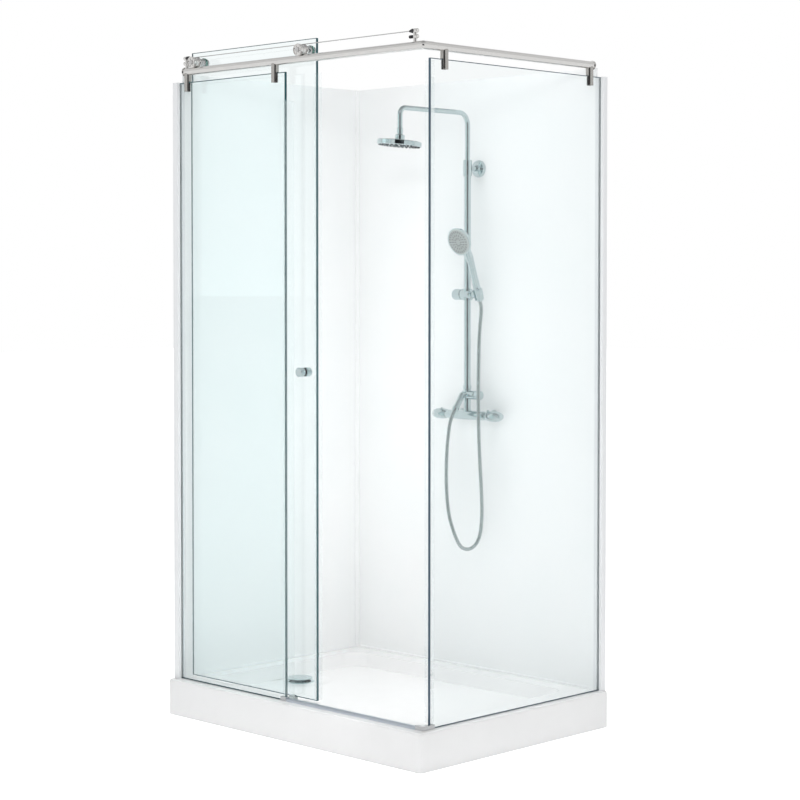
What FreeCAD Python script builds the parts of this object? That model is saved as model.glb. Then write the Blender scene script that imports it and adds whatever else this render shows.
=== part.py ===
import FreeCAD, Part
import os
from math import cos, pi, radians, sin, sqrt, tan

Vector = FreeCAD.Vector
os.makedirs("parts", exist_ok=True)

# A walk-in shower enclosure: a tray, two wall panels, a front and a side of fixed glass,
# and a glass door that rolls along a round rail. A thermostatic shower column stands
# on the back wall. Millimetres. The origin is the middle of the tray's footprint on the floor.
# +X runs to the right along the door, +Y to the back wall, +Z up.

# ---------------------------------------------------------------- driving dimensions
# tray
tray_length = 1200.0
tray_depth = 900.0
tray_height = 120.0
tray_wall = 6.0
tray_corner_radius = 12.0
tray_edge_radius = 7.0
basin_depth = 42.0
basin_slope_width = 34.0
basin_corner_radius = 60.0
deck_front = 96.0
deck_back = 92.0
deck_left = 88.0
deck_right = 108.0
floor_fall = 2.0

# walls
left_wall_setback = 25.0
back_wall_setback = 20.0
wall_panel_thickness = 5.0
wall_height = 2058.0
wall_trim_height = 7.0

# glass
glass_thickness = 8.0
glass_height = 2031.5
front_glass_setback = 40.6
side_glass_setback = 29.0
front_glass_right_edge = -42.0
side_glass_front_gap = 26.9
seal_thickness = 1.5

# end profiles of the walls
profile_above_glass = 1.0
profile_channel_depth = 12.0
profile_lip = 4.0
profile_gasket = 2.5

# rails
rail_radius = 12.5
rail_wall = 1.5
rail_above_glass = 36.0
rail_end_setback = 48.0
side_rail_end_setback = 57.0
rail_cap_length = 4.0
rail_cap_radius = 15.5
rail_cap_plug = 12.0
elbow_radius = 13.2
elbow_front_arm = 24.4
elbow_side_arm = 42.4
elbow_spigot = 20.0

# hangers between the rails and the fixed glass
hanger_radius = 12.5
hanger_grip = 31.0
hanger_from_left_end = 17.0
hanger_from_glass_edge = 52.0
side_hanger_from_glass_edge = 65.0
side_hanger_from_wall = 54.0
liner_thickness = 1.5
set_screw_radius = 3.0

# door
door_width = 620.0
door_plane_offset = 40.0
door_left_gap = 43.0
door_floor_gap = 10.0
door_above_axle = 39.0
door_seal_width = 20.0
strike_seal_depth = 22.0
seal_meeting_gap = 0.5

# rollers
wheel_groove_radius = 15.2
wheel_flange_radius = 19.0
wheel_groove_curve = 13.0
wheel_groove_half_width = 8.0
wheel_front_reach = 20.0
wheel_back_reach = 12.0
axle_radius = 6.0
axle_clearance = 0.06
running_gap = 0.3
left_roller_inset = 60.0
right_roller_inset = 31.0
hub_radius = 15.0
gasket_thickness = 2.0
gasket_radius = 17.5
glass_hole_radius = 8.5
cap_nut_radius = 15.0
cap_nut_length = 10.0
roller_face_rim = 2.5
roller_face_recess = 3.0
roller_pin_count = 6
roller_pin_radius = 2.4
roller_pin_depth = 1.2

# stops and the wire that keeps the rollers down
wire_radius = 1.5
wire_gap = 0.6
post_radius = 6.0
post_above_wire = 6.0
bumper_length = 18.0
bumper_radius = 5.0
cone_length = 17.0
cone_radius = 6.8
thumb_nut_radius = 6.5
thumb_nut_length = 6.0

# floor fittings
threshold_width = 14.0
threshold_height = 11.0
foot_height = 14.0
fixed_foot_grip = 22.0
fixed_foot_lip = 4.0
corner_foot_arm = 22.0
corner_foot_grip = 17.0
corner_foot_lip = 5.0
guide_length = 23.0
guide_height = 14.0
guide_slot_gap = 0.8
guide_from_fixed_edge = -4.0

# door knob
knob_radius = 15.0
knob_length = 20.0
knob_from_edge = 63.0
knob_above_tray = 1068.0
knob_gasket = 1.5
knob_bolt_radius = 4.0
knob_neck = 2.0
knob_neck_length = 3.0

# waste
drain_from_left = 191.0
drain_from_front = 439.0
drain_hole_radius = 45.0
drain_cap_radius = 45.0
drain_cap_thickness = 5.0
drain_cap_above_floor = 13.0
drain_cap_dome = 12.0
cap_stem_radius = 16.0
cap_stem_length = 24.0
cap_stem_drop = 30.0
cap_vane_height = 12.0
cap_vane_thickness = 3.0
waste_flange_radius = 52.0
waste_flange_wall = 2.0
waste_flange_drop = 34.0
outlet_radius = 25.0
outlet_wall = 2.0
outlet_above_floor = 2.0
trap_floor = 30.0
trap_wall = 3.0
trap_radius = 52.0
trap_collar_height = 8.0
trap_collar_radius = 60.0

# support under the tray
frame_tube = 25.0
foot_pad_radius = 24.0
foot_stud_radius = 5.0

# shower column
column_x = 30.0
column_from_wall = 60.0
mixer_above_tray = 896.0
mixer_length = 190.0
mixer_radius = 16.0
mixer_half_depth = 23.0
mixer_shoulder = 14.0
mixer_neck_radius = 14.0
diverter_neck_radius = 12.0
spindle_radius = 6.0
spindle_length = 18.0
inlet_spacing = 150.0
inlet_thread_radius = 10.25
inlet_bore = 7.0
inlet_collar_radius = 11.0
inlet_hole_radius = 11.8
union_radius = 12.0
union_rosette_radius = 17.0
bracket_rosette_radius = 30.0
handle_length = 66.0
handle_gap = 0.4
diverter_above_mixer = 70.0
diverter_radius = 15.0
diverter_knob_radius = 16.0
diverter_knob_length = 24.0
diverter_socket_radius = 13.0
diverter_nut_radius = 14.5
outlet_branch_radius = 10.5
outlet_forward = 26.0
outlet_slant = 36.5
outlet_length = 50.0
hose_nut_length = 17.0
hose_nut_radius = 12.0
lower_riser_radius = 11.5
upper_arm_radius = 8.5
bracket_above_tray = 1753.0
bracket_sleeve_radius = 15.0
bracket_sleeve_length = 56.0
arm_above_tray = 1943.0
arm_bend_radius = 42.0
arm_reach = 330.0
rain_head_radius = 75.0
rain_head_thickness = 17.0
rain_head_hang = 5.0
rain_ring_radii = (16.0, 30.0, 44.0, 58.0, 68.0)
rain_ring_count = (6, 12, 18, 26, 32)
nozzle_length = 2.5
nozzle_tip_radius = 1.5
nozzle_root_radius = 2.4
rain_ball_radius = 12.0
ball_nut_radius = 10.4
rain_drop = 111.5
ball_above_head = 14.5
ball_neck = 28.0
slider_above_tray = 1315.0
slider_radius = 18.0
slider_neck_radius = 9.0
slider_neck_length = 10.0
slider_collar_half = 20.0
slider_knob_length = 42.0
cradle_ear_radius = 13.0
cradle_half = 19.0
cradle_lower_radius = 15.0
cradle_upper_radius = 17.5
cradle_offset = 52.0
socket_lower_radius = 10.6
socket_upper_radius = 12.9
socket_slope = 0.06
handset_below_cradle = 24.0
handset_neck_loops = ((118, 0, 12, 12), (142, 4, 13, 15), (166, 11, 12, 21), (190, 20, 9, 30))
handset_head_depth = 13.0
handset_lean = 19.5
handset_head_along = 203.5
handset_head_out = 34.5
handset_head_radius = 49.0
spray_ring_radii = (13.0, 24.0, 36.0)
spray_ring_count = (10, 16, 24)
spray_bar_lengths = (6.0, 7.0, 7.5)
spray_bar_width = 2.6
spray_bar_height = 1.2
hose_radius = 6.5
fit_gap = 0.3

# ---------------------------------------------------------------- places worked out
left = -tray_length / 2
right = tray_length / 2
front = -tray_depth / 2
back = tray_depth / 2
left_wall_x = left + left_wall_setback
back_wall_y = back - back_wall_setback
front_glass_y = front + front_glass_setback
side_glass_x = right - side_glass_setback
half_glass = glass_thickness / 2
glass_bottom = tray_height + seal_thickness
glass_top = glass_bottom + glass_height
rail_z = glass_top + rail_above_glass
left_profile_face = left_wall_x + profile_lip
right_profile_face = back_wall_y - 3.0
side_glass_front = front_glass_y + side_glass_front_gap
door_y = front_glass_y + door_plane_offset
door_front_face = door_y - half_glass
door_back_face = door_y + half_glass
door_left = left + door_left_gap
door_right = door_left + door_width
roller_z = rail_z + rail_radius + running_gap + wheel_groove_radius
door_top = roller_z + door_above_axle
door_bottom = tray_height + door_floor_gap
roller_left_x = door_left + left_roller_inset
roller_right_x = door_right - right_roller_inset
strike_face = side_glass_x - half_glass - strike_seal_depth
door_travel = strike_face - seal_meeting_gap - door_seal_width - door_right
wire_z = roller_z + wheel_groove_radius + wire_gap + wire_radius
left_bumper_tip = roller_left_x - wheel_flange_radius - running_gap
right_bumper_tip = roller_right_x + door_travel + wheel_flange_radius + running_gap
post_left_x = left_bumper_tip - bumper_length - post_radius
post_right_x = right_bumper_tip + bumper_length + post_radius
column_y = back_wall_y - column_from_wall
mixer_z = tray_height + mixer_above_tray
diverter_z = mixer_z + diverter_above_mixer
bracket_z = tray_height + bracket_above_tray
arm_z = tray_height + arm_above_tray
slider_z = tray_height + slider_above_tray
floor_z = tray_height - basin_depth
under_floor_z = floor_z - tray_wall
drain_x = left + drain_from_left
drain_y = front + drain_from_front

X_AXIS = Vector(1, 0, 0)
Y_AXIS = Vector(0, 1, 0)
Z_AXIS = Vector(0, 0, 1)


# ---------------------------------------------------------------- shapes
def block(x0, x1, y0, y1, z0, z1):
    return Part.makeBox(x1 - x0, y1 - y0, z1 - z0, Vector(x0, y0, z0))


def rod(start, axis, radius, length):
    return Part.makeCylinder(radius, length, start, axis)


def rod_between(start, end, radius):
    span = end - start
    return Part.makeCylinder(radius, span.Length, start, span)


def tube(start, axis, radius, bore, length):
    return rod(start, axis, radius, length).cut(rod(start, axis, bore, length))


def square_to(axis):
    side = Z_AXIS if abs(axis.z) < 0.9 else X_AXIS
    side = axis.cross(side)
    side.normalize()
    return side


def turned(base, axis, outline):
    """A solid of revolution about axis through base. The outline gives (distance along, radius)
    points; a pair of such points is an arc, through the first and to the second."""
    along = Vector(axis)
    along.normalize()
    side = square_to(along)

    def place(point):
        return base + along * point[0] + side * point[1]

    edges = []
    last = outline[0]
    for step in outline[1:] + [outline[0]]:
        if isinstance(step[0], tuple):
            edges.append(Part.Arc(place(last), place(step[0]), place(step[1])).toShape())
            last = step[1]
        elif place(step).distanceToPoint(place(last)) > 1e-6:
            edges.append(Part.LineSegment(place(last), place(step)).toShape())
            last = step
    face = Part.Face(Part.Wire(edges))
    return face.revolve(base, along, 360)


def section(points, z0, z1):
    """An upright extrusion of a flat outline. A pair of points is an arc, as in turned."""
    edges = []
    last = points[0]
    for step in points[1:] + [points[0]]:
        if isinstance(step[0], tuple):
            middle, end = step
            arc = Part.Arc(Vector(*last, z0), Vector(*middle, z0), Vector(*end, z0))
            edges.append(arc.toShape())
            last = end
        elif step != last:
            edges.append(Part.LineSegment(Vector(*last, z0), Vector(*step, z0)).toShape())
            last = step
    return Part.Face(Part.Wire(edges)).extrude(Vector(0, 0, z1 - z0))


def rounded_loop(x0, x1, y0, y1, radius, z):
    """A rectangle with round corners, as a closed wire at height z."""
    near = radius * (1 - sqrt(0.5))
    corners = [(x0, y0, 1, 1), (x1, y0, -1, 1), (x1, y1, -1, -1), (x0, y1, 1, -1)]
    arcs = []
    for number, (x, y, sx, sy) in enumerate(corners):
        on_x = Vector(x + sx * radius, y, z)
        on_y = Vector(x, y + sy * radius, z)
        middle = Vector(x + sx * near, y + sy * near, z)
        ends = (on_y, on_x) if number % 2 == 0 else (on_x, on_y)
        arcs.append(Part.Arc(ends[0], middle, ends[1]))
    edges = []
    for number, arc in enumerate(arcs):
        following = arcs[(number + 1) % 4]
        edges.append(arc.toShape())
        edges.append(Part.LineSegment(arc.EndPoint, following.StartPoint).toShape())
    return Part.Wire(edges)


def lofted(loops):
    return Part.makeLoft(loops, True, True)


def oval_loop(x, y, z, half_depth, half_height):
    """An ellipse across the X axis."""
    if half_depth >= half_height:
        curve = Part.Ellipse(Vector(x, y + half_depth, z), Vector(x, y, z + half_height), Vector(x, y, z))
    else:
        curve = Part.Ellipse(Vector(x, y, z + half_height), Vector(x, y - half_depth, z), Vector(x, y, z))
    return Part.Wire([curve.toShape()])


def oval_body(stations, y, z):
    """A smooth body along X through ovals: (x, half depth, half height) at each station."""
    return Part.makeLoft([oval_loop(x, y, z, depth, height) for x, depth, height in stations], True, False)


def bent_tube(points, radii, radius, name=""):
    """A round tube along straight runs joined by tangent arcs."""
    edges = []
    start = points[0]
    for number in range(1, len(points) - 1):
        corner = points[number]
        inward = corner - points[number - 1]
        outward = points[number + 1] - corner
        inward.normalize()
        outward.normalize()
        turn = inward.getAngle(outward)
        trim = radii[number - 1] * tan(turn / 2)
        into = corner - inward * trim
        out_of = corner + outward * trim
        towards = outward - inward
        towards.normalize()
        middle = corner + towards * (radii[number - 1] / cos(turn / 2) - radii[number - 1])
        edges.append(Part.LineSegment(start, into).toShape())
        edges.append(Part.Arc(into, middle, out_of).toShape())
        start = out_of
    edges.append(Part.LineSegment(start, points[-1]).toShape())
    path = Part.Wire(edges)
    direction = points[1] - points[0]
    circle = Part.Wire([Part.Circle(points[0], direction, radius).toShape()])
    solid = path.makePipeShell([circle], True, False)
    if name:
        expected = pi * radius * radius * path.Length
        print(name, "length", round(path.Length, 1), "volume ratio", round(solid.Volume / expected, 4))
    return solid


def save(name, *solids):
    shape = solids[0] if len(solids) == 1 else Part.makeCompound(list(solids))
    if shape.ShapeType == "Compound" and len(shape.Solids) == 1:
        shape = shape.Solids[0]
    shape.exportStep("parts/" + name + ".step")
    print(name, len(shape.Solids), "valid" if shape.isValid() else "INVALID", round(shape.Volume / 1000, 2))


# ---------------------------------------------------------------- tray and waste
def make_tray():
    outer = lofted([
        rounded_loop(left, right, front, back, tray_corner_radius, 0),
        rounded_loop(left, right, front, back, tray_corner_radius, tray_height),
    ])
    top_edges = [edge for edge in outer.Edges if edge.BoundBox.ZMin > tray_height - 0.1]
    outer = outer.makeFillet(tray_edge_radius, top_edges)
    basin = [left + deck_left, right - deck_right, front + deck_front, back - deck_back]
    slope = basin_slope_width

    def basin_form(grow, z_floor, z_top):
        x0, x1, y0, y1 = basin
        return lofted([
            rounded_loop(x0 + slope - grow, x1 - slope + grow, y0 + slope - grow, y1 - slope + grow,
                         basin_corner_radius, z_floor),
            rounded_loop(x0 - grow, x1 + grow, y0 - grow, y1 + grow, basin_corner_radius, z_top),
        ])

    hollow = block(left + tray_wall, right - tray_wall, front + tray_wall, back - tray_wall,
                   -1, tray_height - tray_wall)
    hollow = hollow.cut(basin_form(tray_wall, under_floor_z, tray_height - tray_wall))
    tray = outer.cut(hollow).cut(basin_form(0, floor_z, tray_height))
    dish = turned(Vector(drain_x, drain_y, floor_z), Z_AXIS,
                  [(-floor_fall, 0), (-floor_fall, waste_flange_radius + 4),
                   (0.01, waste_flange_radius + 60), (0.01, 0)])
    tray = tray.cut(dish)
    tray = tray.cut(rod(Vector(drain_x, drain_y, 0), Z_AXIS, drain_hole_radius, tray_height))
    save("shower_tray", tray)


def frame_places():
    """Y places of the two long tubes under the floor, and X places of their feet and cross tubes."""
    rows = [front + deck_front + basin_slope_width + 70, back - deck_back - basin_slope_width - 70]
    first = left + deck_left + basin_slope_width + 40
    last = right - deck_right - basin_slope_width - 40
    feet = [first, (first + last) / 2, last]
    crossings = [drain_x + trap_collar_radius + frame_tube, feet[1], last]
    return rows, feet, crossings


def make_tray_support():
    rows, feet_x, crossings = frame_places()
    top = under_floor_z
    half = frame_tube / 2
    bottom = top - frame_tube
    pieces = []
    for y in rows:
        pieces.append(block(feet_x[0] - half, feet_x[-1] + half, y - half, y + half, bottom, top))
    for x in crossings:
        pieces.append(block(x - half, x + half, rows[0] - half, rows[1] + half, bottom, top))
    welded = pieces[0].multiFuse(pieces[1:]).removeSplitter()
    seats = [(x, y) for y in rows for x in feet_x]
    for x, y in seats:
        welded = welded.cut(rod(Vector(x, y, bottom - 1), Z_AXIS, foot_stud_radius, frame_tube - 1))
    save("tray_frame", welded)

    feet = []
    for x, y in seats:
        feet.append(turned(Vector(x, y, 0), Z_AXIS, [
            (0, 0), (0, foot_pad_radius), (4, foot_pad_radius), (9, 12), (14, 9), (14, foot_stud_radius),
            (bottom - 6, foot_stud_radius), (bottom - 6, 8.5), (bottom, 8.5), (bottom, foot_stud_radius),
            (top - 2, foot_stud_radius), (top - 2, 0)]))
    save("levelling_feet", *feet)


def make_waste():
    centre = Vector(drain_x, drain_y, floor_z - floor_fall)
    bowl = drain_hole_radius - 3
    throat = bowl - waste_flange_wall
    flange = turned(centre, Z_AXIS, [
        (-waste_flange_drop, throat), (-waste_flange_drop, bowl), (0, bowl), (0, waste_flange_radius),
        (1.2, waste_flange_radius), (2.4, waste_flange_radius - 3), (2.4, bowl + 2), (0, throat)])
    save("waste_flange", flange)

    trap_top = under_floor_z
    cup = trap_radius
    collar = trap_collar_radius
    pipe_bore = outlet_radius - outlet_wall
    trap = turned(Vector(drain_x, drain_y, 0), Z_AXIS, [
        (outlet_above_floor, pipe_bore), (outlet_above_floor, outlet_radius), (trap_floor, outlet_radius),
        (trap_floor, cup - 6), (trap_floor + 6, cup), (trap_top - trap_collar_height, cup),
        (trap_top - trap_collar_height, collar), (trap_top, collar), (trap_top, bowl + 0.5),
        (trap_top - 10, bowl + 0.5), (trap_top - 10, cup - trap_wall),
        (trap_floor + trap_wall, cup - trap_wall), (trap_floor + trap_wall, pipe_bore)])
    save("waste_trap", trap)

    cap_top = floor_z + drain_cap_above_floor
    stem_end = floor_z - floor_fall - cap_stem_drop
    cap = turned(Vector(drain_x, drain_y, 0), Z_AXIS, [
        (stem_end, 0), (stem_end, cap_stem_radius), (stem_end + cap_stem_length, cap_stem_radius),
        (cap_top - drain_cap_thickness, cap_stem_radius + 4),
        (cap_top - drain_cap_thickness, drain_cap_radius - 2), (cap_top - 3, drain_cap_radius),
        (cap_top - 1.5, drain_cap_radius),
        ((cap_top - 0.4, drain_cap_radius - 3), (cap_top, drain_cap_radius - drain_cap_dome)),
        (cap_top, 0)])
    vanes = []
    for number in range(3):
        angle = number * 120
        vane = block(cap_stem_radius - 2, throat - fit_gap, -cap_vane_thickness / 2, cap_vane_thickness / 2,
                     stem_end, stem_end + cap_vane_height)
        vane.rotate(Vector(0, 0, 0), Z_AXIS, angle)
        vane.translate(Vector(drain_x, drain_y, 0))
        vanes.append(vane)
    save("drain_cap", cap.multiFuse(vanes))


# ---------------------------------------------------------------- walls
wall_bottom = tray_height + wall_trim_height
wall_top = wall_bottom + wall_height
profile_bottom = tray_height
profile_top = glass_top + profile_above_glass
channel_half = half_glass + profile_gasket
left_panel_x0 = left_wall_x - wall_panel_thickness
back_panel_y1 = back_wall_y + wall_panel_thickness
panel_slot_gap = 0.2
corner_size_x = left_profile_face + 8
corner_size_y = back_wall_y - profile_lip - 8
left_profile_back = front_glass_y + channel_half + 12
right_profile_left = side_glass_x - channel_half - 14


def make_walls():
    inlets = [column_x - inlet_spacing / 2, column_x + inlet_spacing / 2]
    back_panel = block(corner_size_x - 6, right_profile_left + 6, back_wall_y, back_panel_y1,
                       wall_bottom, wall_top)
    for x in inlets:
        back_panel = back_panel.cut(rod(Vector(x, back_wall_y - 1, mixer_z), Y_AXIS,
                                        inlet_hole_radius, 20))
    save("back_wall_panel", back_panel)
    left_panel = block(left_panel_x0, left_wall_x, left_profile_back - 6, corner_size_y + 6,
                       wall_bottom, wall_top)
    save("left_wall_panel", left_panel)

    # corner extrusion with a hollow cove and a slot for each panel
    outer_x = left + 4
    outer_y = back - 4
    cove = 6.0
    corner = section([
        (outer_x, outer_y), (outer_x, corner_size_y), (left_profile_face, corner_size_y),
        ((left_profile_face + cove * 0.293, corner_size_y + cove * 0.707 + 2),
         (corner_size_x, corner_size_y + 8)),
        (corner_size_x, outer_y)], profile_bottom, wall_top)
    slot = panel_slot_gap
    corner = corner.cut(block(left_panel_x0 - slot, left_wall_x + slot, corner_size_y - 1, corner_size_y + 7,
                              profile_bottom - 1, wall_top + 1))
    corner = corner.cut(block(corner_size_x - 7, corner_size_x + 1, back_wall_y - slot, back_panel_y1 + slot,
                              profile_bottom - 1, wall_top + 1))
    save("corner_profile", corner)

    # end extrusions: a channel for the glass and a slot for the wall panel
    front_face = front_glass_y - channel_half - 12
    left_profile = section([
        (outer_x, left_profile_back), (outer_x, front_face + 4),
        ((outer_x + 1.2, front_face + 1.2), (outer_x + 4, front_face)),
        (left_profile_face, front_face), (left_profile_face, left_profile_back)],
        profile_bottom, profile_top)
    left_profile = left_profile.cut(block(
        left_profile_face - profile_channel_depth, left_profile_face + 1,
        front_glass_y - channel_half, front_glass_y + channel_half, profile_bottom - 1, profile_top + 1))
    left_profile = left_profile.cut(block(
        left_panel_x0 - slot, left_wall_x + slot, left_profile_back - 7, left_profile_back + 1,
        profile_bottom - 1, profile_top + 1))
    right_edge = right - 10
    right_profile = section([
        (right_profile_left, right_profile_face), (right_edge - 4, right_profile_face),
        ((right_edge - 1.2, right_profile_face + 1.2), (right_edge, right_profile_face + 4)),
        (right_edge, outer_y), (right_profile_left, outer_y)], profile_bottom, profile_top)
    right_profile = right_profile.cut(block(
        side_glass_x - channel_half, side_glass_x + channel_half, right_profile_face - 1,
        right_profile_face + profile_channel_depth, profile_bottom - 1, profile_top + 1))
    right_profile = right_profile.cut(block(
        right_profile_left - 1, right_profile_left + 7, back_wall_y - slot, back_panel_y1 + slot,
        profile_bottom - 1, profile_top + 1))
    save("wall_end_profiles", left_profile, right_profile)

    # low trims that carry the panels on the tray
    front_end = left_profile_back
    left_trim = block(left_panel_x0 - 3, left_wall_x + profile_lip, front_end, corner_size_y,
                      tray_height, wall_bottom)
    back_trim = block(corner_size_x, right_profile_left, back_wall_y - profile_lip, back_panel_y1 + 3,
                      tray_height, wall_bottom)
    save("wall_base_trims", left_trim, back_trim)


# ---------------------------------------------------------------- fixed glass
front_glass_left = left_profile_face - profile_channel_depth + 1
side_glass_back = right_profile_face + profile_channel_depth - 1


def make_fixed_glass():
    front_pane = block(front_glass_left, front_glass_right_edge, front_glass_y - half_glass,
                       front_glass_y + half_glass, glass_bottom, glass_top)
    save("fixed_glass", front_pane)
    side_pane = block(side_glass_x - half_glass, side_glass_x + half_glass, side_glass_front,
                      side_glass_back, glass_bottom, glass_top)
    save("side_glass", side_pane)

    seals = []
    for side in (-1, 1):
        y0, y1 = sorted([front_glass_y + side * half_glass, front_glass_y + side * channel_half])
        seals.append(block(left_profile_face - profile_channel_depth, left_profile_face + 1, y0, y1,
                           glass_bottom, profile_top - 1))
        x0, x1 = sorted([side_glass_x + side * half_glass, side_glass_x + side * channel_half])
        seals.append(block(x0, x1, right_profile_face - 1, right_profile_face + profile_channel_depth,
                           glass_bottom, profile_top - 1))
    seals.append(block(front_glass_left, foot_left, front_glass_y - half_glass, front_glass_y + half_glass,
                       tray_height, glass_bottom))
    seals.append(block(side_glass_x - half_glass, side_glass_x + half_glass, corner_foot_back,
                       side_glass_back, tray_height, glass_bottom))
    save("glazing_seals", *seals)

    # clear draught seal on the free edge of the front glass, its fin just short of the door
    clip = seal_thickness
    edge = front_glass_right_edge
    reach = front_glass_y + door_plane_offset - half_glass - running_gap
    draught = section([
        (edge - 10, front_glass_y - half_glass), (edge - 10, front_glass_y - half_glass - clip),
        (edge + clip, front_glass_y - half_glass - clip), (edge + clip, front_glass_y + half_glass + clip),
        (edge - 1, reach), (edge - 2.2, reach), (edge - 2.2, front_glass_y + half_glass + clip),
        (edge - 10, front_glass_y + half_glass + clip), (edge - 10, front_glass_y + half_glass),
        (edge, front_glass_y + half_glass), (edge, front_glass_y - half_glass)],
        tray_height + guide_height + 1, glass_top - hanger_grip - 60)
    save("fixed_edge_seal", draught)

    # clear strike seal on the inner face of the side glass, where the door closes
    inner = side_glass_x - half_glass
    strike = section([
        (inner, door_y - 9), (inner, door_y + 9), (inner - 2, door_y + 9), (inner - 4, door_y + 5),
        (strike_face, door_y + 5), (strike_face, door_y - 5), (inner - 4, door_y - 5),
        (inner - 2, door_y - 9)], glass_bottom + foot_height, glass_top - 6)
    save("strike_seal", strike)


# ---------------------------------------------------------------- floor fittings
foot_left = front_glass_right_edge - fixed_foot_grip
foot_right = front_glass_right_edge + fixed_foot_lip
corner_foot_left = side_glass_x - half_glass - corner_foot_arm
corner_foot_back = side_glass_front + corner_foot_grip
corner_foot_right = side_glass_x + half_glass + corner_foot_lip
corner_foot_front = front_glass_y - threshold_width / 2
guide_right = foot_right + guide_from_fixed_edge
guide_left = guide_right - guide_length


def make_floor_fittings():
    strip = section([
        (0, 0), (threshold_width, 0), (threshold_width, 2),
        ((threshold_width - 2, threshold_height - 1.6), (threshold_width / 2 + 2, threshold_height)),
        (threshold_width / 2 - 2, threshold_height), ((2, threshold_height - 1.6), (0, 2))],
        0, corner_foot_left - foot_right)
    strip.rotate(Vector(0, 0, 0), Vector(1, 1, 1), 120)
    strip.translate(Vector(foot_right, front_glass_y - threshold_width / 2, tray_height))
    save("threshold_strip", strip)

    # clamp foot under the lower corner of the front glass
    foot_half = half_glass + 3.5
    foot = block(foot_left, foot_right, front_glass_y - foot_half, front_glass_y + foot_half,
                 tray_height, tray_height + foot_height)
    foot_top = tray_height + foot_height
    foot = foot.makeFillet(2, [edge for edge in foot.Edges if edge.BoundBox.ZMin > foot_top - 0.1])
    foot = foot.cut(block(foot_left - 1, front_glass_right_edge, front_glass_y - half_glass,
                          front_glass_y + half_glass, glass_bottom, tray_height + foot_height + 1))
    save("fixed_glass_foot", foot)

    # corner foot: a leg along the threshold and a slotted leg under the side glass
    height = tray_height + foot_height
    corner = section([
        (corner_foot_left, corner_foot_front), (corner_foot_right - 6, corner_foot_front),
        ((corner_foot_right - 1.76, corner_foot_front + 1.76), (corner_foot_right, corner_foot_front + 6)),
        (corner_foot_right, corner_foot_back), (side_glass_x - half_glass - 3, corner_foot_back),
        (side_glass_x - half_glass - 3, front_glass_y + threshold_width / 2),
        (corner_foot_left, front_glass_y + threshold_width / 2)], tray_height, height)
    corner = corner.cut(block(side_glass_x - half_glass, side_glass_x + half_glass, side_glass_front,
                              corner_foot_back + 1, glass_bottom, height + 1))
    save("corner_foot", corner)

    # nylon-lined guide that the door runs through
    slot_half = half_glass + guide_slot_gap
    guide_top = tray_height + guide_height
    y0 = door_y - slot_half - 4
    y1 = door_y + slot_half + 4
    guide = block(guide_left, guide_right, y0, y1, tray_height, guide_top)
    guide = guide.makeFillet(2, [edge for edge in guide.Edges if edge.BoundBox.ZMin > guide_top - 0.1])
    guide = guide.cut(block(guide_left - 1, guide_right + 1, door_y - slot_half, door_y + slot_half,
                            door_bottom - 2, guide_top + 1))
    base = block(guide_left + 2, guide_right - 2, y0 - 12, y0 + 1, tray_height, tray_height + 4)
    save("door_guide", guide.fuse(base))


# ---------------------------------------------------------------- rails
front_rail_left = left + rail_end_setback + rail_cap_length
front_rail_right = side_glass_x - elbow_front_arm
side_rail_front = front_glass_y + elbow_side_arm
side_rail_back = back - side_rail_end_setback - rail_cap_length


def rail_along(axis, start, length):
    return tube(start, axis, rail_radius, rail_radius - rail_wall, length)


def make_rails():
    save("front_rail", rail_along(X_AXIS, Vector(front_rail_left, front_glass_y, rail_z),
                                  front_rail_right - front_rail_left))
    save("side_rail", rail_along(Y_AXIS, Vector(side_glass_x, side_rail_front, rail_z),
                                 side_rail_back - side_rail_front))

    corner = Vector(side_glass_x, front_glass_y, rail_z)
    bore = rail_radius - rail_wall
    elbow = rod(corner, X_AXIS * -1, elbow_radius, elbow_front_arm)
    elbow = elbow.fuse(rod(corner, Y_AXIS, elbow_radius, elbow_side_arm))
    elbow = elbow.fuse(Part.makeSphere(elbow_radius, corner))
    elbow = elbow.fuse(rod(corner, X_AXIS * -1, bore, elbow_front_arm + elbow_spigot))
    elbow = elbow.fuse(rod(corner, Y_AXIS, bore, elbow_side_arm + elbow_spigot))
    save("rail_corner", elbow.removeSplitter())

    def cap(seat, axis):
        return turned(seat, axis, [
            (-rail_cap_plug, 0), (-rail_cap_plug, bore), (0, bore), (0, rail_cap_radius),
            (rail_cap_length / 2, rail_cap_radius),
            ((rail_cap_length * 0.9, rail_cap_radius * 0.7), (rail_cap_length, rail_cap_radius * 0.3)),
            (rail_cap_length, 0)])

    save("rail_end_caps", cap(Vector(front_rail_left, front_glass_y, rail_z), X_AXIS * -1),
         cap(Vector(side_glass_x, side_rail_back, rail_z), Y_AXIS))


hanger_bottom = glass_top - hanger_grip
front_hanger_places = [left + rail_end_setback + hanger_from_left_end,
                       front_glass_right_edge - hanger_from_glass_edge]
side_hanger_places = [side_glass_front + side_hanger_from_glass_edge, back_wall_y - side_hanger_from_wall]


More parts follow.
